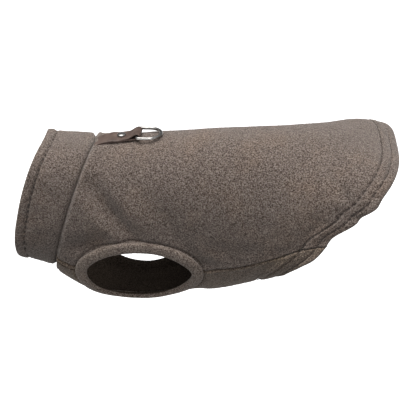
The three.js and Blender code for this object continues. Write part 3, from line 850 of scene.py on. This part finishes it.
def strap():
    low = SEAM_GAP + LEATHER_WALL / 2
    high = LEAVES_HEIGHT - LEATHER_WALL / 2
    path = [(b, low) for b in np.linspace(-STRAP_LENGTH, -1.2, STRAP_LEAF_ROWS)]
    for turn in np.linspace(-math.pi / 2, math.pi / 2 + 0.3, STRAP_LOOP_ROWS):
        path.append((LOOP_RADIUS * math.cos(turn), BAR_HEIGHT + LOOP_RADIUS * math.sin(turn)))
    last_b, last_h = path[-1]
    throat = -8.8
    for t in np.linspace(0, 1, 13)[1:]:
        eased = t * t * (3 - 2 * t)
        path.append((last_b + (throat - last_b) * t, last_h + (high - last_h) * (0.35 * t + 0.65 * eased)))
    path += [(b, high) for b in np.linspace(throat, -STRAP_LENGTH, 34)[1:]]
    path = np.array(path)
    tangent = np.gradient(path, axis=0)
    tangent /= np.linalg.norm(tangent, axis=1)[:, None]
    # Normals point away from the fold's inside.
    normal = np.stack([tangent[:, 1], -tangent[:, 0]], 1)
    corners = 36
    turn = 2 * math.pi * (np.arange(corners) + 0.5) / corners
    across = squarish(np.cos(turn), 0.16) * STRAP_WIDTH / 2
    thick = squarish(np.sin(turn), 0.4) * LEATHER_WALL / 2
    behind = path[:, :1] + normal[:, :1] * thick
    height = path[:, 1:] + normal[:, 1:] * thick
    # Two creases run over the upper leaf near the seam.
    first_upper = STRAP_LEAF_ROWS + STRAP_LOOP_ROWS + 1
    upper = (np.arange(len(path)) >= first_upper)[:, None] & (thick > -0.01)[None, :]
    from_seam = behind + STRAP_LENGTH
    crease = groove(from_seam - 3.2, 0.35, 0.8) + groove(from_seam - 20, 0.18, 2.2)
    height = height + np.where(upper, crease, 0)
    pressed = np.clip(1 - from_seam / 14, 0, 1) ** 1.5
    height = height * (1 - 0.55 * pressed) - 0.8 * pressed
    narrowing = 1 - 0.09 * np.clip(1 - from_seam / 22, 0, 1)
    rings = over_strap(behind, across * narrowing - 0.9 * pressed, height)
    count = len(path)
    vertices = rings.reshape(-1, 3)
    faces = []
    rod_faces(faces, 0, count, corners)
    return add_object("strap_leather", vertices, faces, strap_leather)


leash_strap = strap()
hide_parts("leash_strap")


def lathe(name, profile, segments, place, material):
    """A turned piece: profile of (radius, height), set by place(x, y, height) in millimetres."""
    turn = 2 * math.pi * np.arange(segments) / segments
    vertices = []
    for radius, height in profile:
        for angle in turn:
            vertices.append(place(radius * math.cos(angle), radius * math.sin(angle), height))
    faces = []
    rod_faces(faces, 0, len(profile), segments)
    return add_object(name, vertices, faces, material)


RIVET_HEAD_RADIUS = 4.2
RIVET_DOME_HEIGHT = 1.6
RIVET_SHANK_RADIUS = 1.2
RIVET_TAIL_RADIUS = 3
RIVET_TAIL_HEIGHT = 0.9


def rivet():
    base = over_strap(RIVET_BEHIND_BAR, 0, 0)
    normal = over_strap(RIVET_BEHIND_BAR, 0, 1) - base
    normal /= np.linalg.norm(normal)
    across = np.array([0.0, 1.0, 0.0])
    rearward = np.cross(across, normal)
    tail_top = -FLEECE_WALL - SEAM_GAP
    head_base = LEAVES_HEIGHT + 0.05
    dome_base = head_base + 0.25
    profile = [
        (0.4, tail_top - RIVET_TAIL_HEIGHT), (2.6, tail_top - RIVET_TAIL_HEIGHT),
        (RIVET_TAIL_RADIUS, tail_top - 0.5), (RIVET_TAIL_RADIUS, tail_top),
        (RIVET_SHANK_RADIUS, tail_top), (RIVET_SHANK_RADIUS, head_base),
        (3.9, head_base), (RIVET_HEAD_RADIUS, dome_base),
    ]
    dome_steps = 9
    for n in range(1, dome_steps):
        turn = math.pi / 2 * n / dome_steps
        profile.append((RIVET_HEAD_RADIUS * math.cos(turn), dome_base + RIVET_DOME_HEIGHT * math.sin(turn)))
    profile.append((0.15, dome_base + RIVET_DOME_HEIGHT))
    return lathe("rivet_metal", profile, 40,
                 lambda x, y, h: base + rearward * x + across * y + normal * h, ring_nickel)


rivet_metal = rivet()
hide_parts("strap_rivet")


# D-ring

RING_SPREAD = 23.6
RING_REACH = 21.5
RING_CORNER = 2.2


def ring_outline(steps):
    """The D's middle line: a straight bar, two rounded corners, legs and a round end."""
    half = RING_SPREAD / 2
    straight = RING_REACH - half
    path = [(0, -half + RING_CORNER), (0, half - RING_CORNER)]
    corner = RING_CORNER
    for turn in np.linspace(math.pi, math.pi / 2, 9)[1:]:
        path.append((corner + corner * math.cos(turn), half - corner + corner * math.sin(turn)))
    for turn in np.linspace(math.pi / 2, -math.pi / 2, 48):
        path.append((straight + half * math.cos(turn), half * math.sin(turn)))
    for turn in np.linspace(-math.pi / 2, -math.pi, 9):
        path.append((corner + corner * math.cos(turn), -half + corner + corner * math.sin(turn)))
    path = np.array(path)
    run = np.concatenate([[0], np.cumsum(np.linalg.norm(np.diff(path, axis=0), axis=1))])
    places = np.linspace(0, run[-1], steps, endpoint=False)
    return np.stack([np.interp(places, run, path[:, 0]), np.interp(places, run, path[:, 1])], 1)


def d_ring():
    steps = 150
    corners = 18
    bar = over_back(STRAP_BAR, 0, BAR_HEIGHT)
    end = over_back(STRAP_BAR + RING_REACH / bar_station_length, 0, WIRE_RADIUS + 0.3)
    rearward = end - bar
    rearward[1] = 0
    rearward /= np.linalg.norm(rearward)
    across = np.array([0.0, 1.0, 0.0])
    over = np.cross(rearward, across)
    outline = ring_outline(steps)
    centres = bar + outline[:, :1] * rearward + outline[:, 1:] * across
    tangent = np.roll(centres, -1, 0) - np.roll(centres, 1, 0)
    tangent /= np.linalg.norm(tangent, axis=1)[:, None]
    outward = np.cross(tangent, over)
    turn = 2 * math.pi * np.arange(corners) / corners
    rings = (centres[:, None] + WIRE_RADIUS * (outward[:, None] * np.cos(turn)[None, :, None]
             + over * np.sin(turn)[None, :, None]))
    return tube("ring_metal", rings, ring_nickel)


ring_metal = d_ring()
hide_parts("d_ring")


# Stitches: short threads sunk in the grooves, all in one mesh.

def stitch_run(line, length, pitch, height, radius):
    """Stitches along a line of (station, angle), height over the cloth's outer face."""
    points = raised_points(line[:, 0], line[:, 1], np.full(len(line), float(height)))
    normals = cloth_normals(line[:, 0], line[:, 1])
    run = np.concatenate([[0], np.cumsum(np.linalg.norm(np.diff(points, axis=0), axis=1))])
    count = int(run[-1] / pitch)
    made = []
    for n in range(count):
        start = (n + 0.5) * pitch - length / 2
        spots = np.linspace(start, start + length, 6)
        centre = np.stack([np.interp(spots, run, points[:, k]) for k in range(3)], 1)
        normal = np.stack([np.interp(spots, run, normals[:, k]) for k in range(3)], 1)
        arch = np.sin(np.linspace(0, math.pi, 6))
        centre = centre + normal * (arch * 0.5 - 0.5)[:, None]
        made.append((centre, normal, radius * (0.55 + 0.45 * arch)))
    return made


def stitches(name, runs):
    corners = 6
    vertices = []
    faces = []
    for centre, normal, radius in runs:
        tangent = np.gradient(centre, axis=0)
        tangent /= np.linalg.norm(tangent, axis=1)[:, None]
        across = np.cross(tangent, normal)
        first = len(vertices)
        for k in range(len(centre)):
            for c in range(corners):
                turn = 2 * math.pi * c / corners
                outward = across[k] * math.cos(turn) + normal[k] * math.sin(turn)
                vertices.append(centre[k] + radius[k] * outward)
        rod_faces(faces, first, len(centre), corners)
    return add_object(name, vertices, faces, seam_thread)


def ring_line(distance, from_front):
    """A line round the body at a distance from the collar's front edge or the rear edge."""
    degrees = np.linspace(-180, 180, 721)
    if from_front:
        length = station_length(np.full_like(degrees, COLLAR_MEASURED), degrees)
        at = COLLAR_FRONT + distance / length
    else:
        length = station_length(np.full_like(degrees, HEM_MIDDLE), degrees)
        at = waved(REAR_EDGE - distance / length, degrees, distance)
    return np.stack([at, degrees], 1)


def chest_line(side):
    """A line beside the chest seam, from the collar to the armhole."""
    at = np.linspace(COLLAR_SEAM + 3, ARM_FRONT - 3, 40)
    edge = side_seam(at)
    return np.stack([at, side * (edge + 4.2 / degree_length(at, edge))], 1)


THICK_STITCH = {"length": 3.2, "pitch": COLLAR_STITCH_PITCH, "radius": 0.6}
FINE_STITCH = {"length": 2.4, "pitch": 3.6, "radius": 0.32}
runs = stitch_run(ring_line(COLLAR_HEM_WIDTH, True), height=-0.1, **THICK_STITCH)
for place, depth, width in HEM_GROOVES:
    runs += stitch_run(ring_line(place, False), height=-0.1, **FINE_STITCH)
for side in (-1, 1):
    runs += stitch_run(chest_line(side), height=-0.5, **FINE_STITCH)
seam_stitches = stitches("seam_stitches", runs)

for piece in (back, belly, collar, left_binding, right_binding, leash_strap, rivet_metal, seam_stitches):
    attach(piece, "vest")
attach(ring_metal, "ring")


# Stage, light and camera

def add_area_light(name, place, target, size, power, colour):
    light = bpy.data.lights.new(name, "AREA")
    light.shape = "DISK"
    light.size = size
    light.energy = power
    light.color = colour
    lamp = bpy.data.objects.new(name, light)
    bpy.context.scene.collection.objects.link(lamp)
    lamp.location = place
    lamp.rotation_mode = "QUATERNION"
    lamp.rotation_quaternion = (Vector(target) - Vector(place)).to_track_quat("-Z", "Y")
    return lamp


def pale(name):
    """A plain white that glows a little, so that no shade shows on it."""
    material, _, _, shader = new_material(name)
    shader.inputs["Base Color"].default_value = (0.9, 0.9, 0.9, 1)
    shader.inputs["Roughness"].default_value = 1.0
    shader.inputs["Emission Color"].default_value = (1, 1, 1, 1)
    shader.inputs["Emission Strength"].default_value = 0.85
    return material


FLOOR_HEIGHT = -0.6
FLOOR_REACH = 12
floor_corners = [(x * FLOOR_REACH, y * FLOOR_REACH, FLOOR_HEIGHT)
                 for x, y in ((-1, -1), (1, -1), (1, 1), (-1, 1))]
floor_mesh = bpy.data.meshes.new("floor")
floor_mesh.from_pydata(floor_corners, [], [(0, 1, 2, 3)])
floor = bpy.data.objects.new("floor", floor_mesh)
bpy.context.scene.collection.objects.link(floor)
floor_mesh.materials.append(pale("pale floor"))
floor.visible_diffuse = False

# A pale backdrop all round, which neither lights nor shades the garment
bpy.ops.mesh.primitive_uv_sphere_add(segments=48, ring_count=24, radius=11.5)
backdrop = bpy.context.object
backdrop.name = "backdrop"
backdrop.data.materials.append(pale("pale backdrop"))
backdrop.visible_diffuse = False
backdrop.visible_glossy = False
backdrop.visible_transmission = False
backdrop.visible_shadow = False

# A studio that is bright overhead and on the garment's left, and dim below
world = bpy.data.worlds.new("studio")
world.use_nodes = True
world_nodes = world.node_tree.nodes
world_links = world.node_tree.links
direction = world_nodes.new("ShaderNodeTexCoord")
split = world_nodes.new("ShaderNodeSeparateXYZ")
world_links.new(direction.outputs["Generated"], split.inputs["Vector"])


def world_share(axis, start, end, low, high):
    """A strength that goes from low to high as the direction's axis goes from start to end."""
    share = world_nodes.new("ShaderNodeMapRange")
    share.inputs["From Min"].default_value = start
    share.inputs["From Max"].default_value = end
    share.inputs["To Min"].default_value = low
    share.inputs["To Max"].default_value = high
    world_links.new(split.outputs[axis], share.inputs["Value"])
    return share


upness = world_share("Z", 0.3, 1.0, 0.24, 0.9)
nearness = world_share("Y", -1.0, 1.0, 1.15, 0.5)
strength = world_nodes.new("ShaderNodeMath")
strength.operation = "MULTIPLY"
world_links.new(upness.outputs["Result"], strength.inputs[0])
world_links.new(nearness.outputs["Result"], strength.inputs[1])
world_links.new(strength.outputs[0], world_nodes["Background"].inputs["Strength"])
world_nodes["Background"].inputs["Color"].default_value = (1, 1, 1, 1)
bpy.context.scene.world = world
bpy.context.scene.view_settings.view_transform = "Standard"

GARMENT_MIDDLE = (0.065, 0.0, -0.07)
add_area_light("key", (-0.22, -0.05, 1.5), GARMENT_MIDDLE, 1.3, 18.5, (1.0, 0.985, 0.965))
add_area_light("front", (0.22, -0.6, 1.55), GARMENT_MIDDLE, 0.6, 5.7, (1.0, 0.985, 0.96))

FOCAL_PIXELS = 1000
IMAGE_PIXELS = 416
SENSOR = 36
DISTANCE = 0.95
TARGET = Vector((0.0646, 0.0, -0.0703))
ELEVATION = math.radians(29)
AZIMUTH = math.radians(4)
camera_data = bpy.data.cameras.new("camera")
camera_data.sensor_width = SENSOR
camera_data.lens = SENSOR * FOCAL_PIXELS / IMAGE_PIXELS
camera = bpy.data.objects.new("camera", camera_data)
bpy.context.scene.collection.objects.link(camera)
level = math.cos(ELEVATION)
back_to_camera = Vector((math.sin(AZIMUTH) * level, -math.cos(AZIMUTH) * level, math.sin(ELEVATION)))
camera.location = TARGET + back_to_camera * DISTANCE
camera.rotation_mode = "QUATERNION"
camera.rotation_quaternion = (-back_to_camera).to_track_quat("-Z", "Y")
bpy.context.scene.camera = camera
